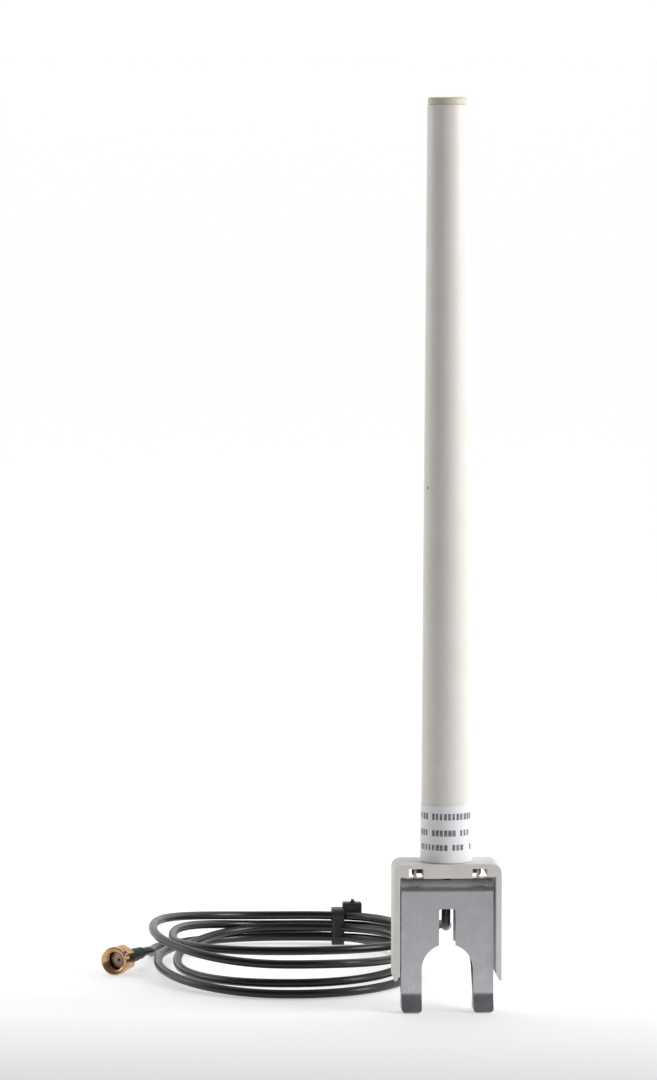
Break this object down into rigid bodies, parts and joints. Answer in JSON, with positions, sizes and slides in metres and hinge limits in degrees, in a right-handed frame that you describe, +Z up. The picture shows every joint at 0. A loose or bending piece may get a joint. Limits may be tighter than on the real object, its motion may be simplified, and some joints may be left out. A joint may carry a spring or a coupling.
{
  "type": "omnidirectional antenna",
  "caption": "Slim white rod antenna on a pivoting spring clip, with a coiled thin coax lead that ends in a small threaded connector.",
  "frame": {"origin": "under the antenna's axis, level with the tips of the clip that it stands on", "axes": "+Z up along the antenna, -Y out of the clip's front leaf, +X to the right seen from the front"},
  "size_m": [0.1236, 0.1498, 0.284],
  "materials": {
    "radome_plastic": "satin warm white ABS",
    "cap_plastic": "satin cream ABS",
    "label_film": null,
    "holder_plastic": "fine moulded off-white ABS",
    "plated_brass": "nickel plated, turned",
    "black_rubber": "matt black",
    "rivet_steel": "dark plated steel",
    "spring_steel": "satin rolled stainless spring strip",
    "cable_jacket": "satin black PVC jacket",
    "gold_plate": "gold flash over turned brass",
    "bare_brass": "drawn brass tube",
    "copper_wire": "drawn enamelled copper",
    "ptfe": "turned white PTFE",
    "foam": "closed-cell foam",
    "nylon_tie": "black moulded nylon",
    "shrink_tube": "black shrunk polyolefin",
    "silicone": "reddish brown silicone"
  },
  "bodies": {
    "mast": {"radome": "radome_plastic", "top_cap": "cap_plastic", "label": "label_film", "holder": "holder_plastic", "base_plug": "plated_brass", "cable_grommet": "black_rubber", "feed_coax": "cable_jacket", "crimp_ferrule": "gold_plate", "choke_sleeve": "bare_brass", "sleeve_washer": "bare_brass", "lower_radiator": "copper_wire", "phasing_coil": "copper_wire", "coil_former": "ptfe", "upper_radiator": "copper_wire", "centring_discs": "foam", "cable_lead": "cable_jacket", "cable_coil": "cable_jacket", "cable_tail": "cable_jacket", "cable_tie": "nylon_tie", "tail_sleeve": "shrink_tube", "tail_ferrule": "gold_plate", "connector_body": "gold_plate", "insulator": "ptfe", "contact": "gold_plate", "gasket": "silicone", "snap_ring": "gold_plate"},
    "clip": {"clip_back": "spring_steel", "pivot_rivets": "rivet_steel"},
    "front_leaf": {"clip_front": "spring_steel"},
    "nut": {"coupling_nut": "gold_plate"}
  },
  "joints": [
    {"name": "clip_pivot", "type": "hinge", "parent": "mast", "child": "clip", "pos_m": [0, 0, 0.0436], "axis": [1, 0, 0], "range_deg": [-12, 12]},
    {"name": "jaw_open", "type": "hinge", "parent": "clip", "child": "front_leaf", "pos_m": [0, -0.0016, 0.0376], "axis": [-1, 0, 0], "range_deg": [0, 8], "stiffness_Nm_per_rad": 0.4, "springref_deg": -5.73},
    {"name": "nut_spin", "type": "hinge", "parent": "mast", "child": "nut", "pos_m": [-0.1028, 0.0713, 0.00465], "axis": [-0.454, -0.891, 0], "continuous": true}
  ]
}
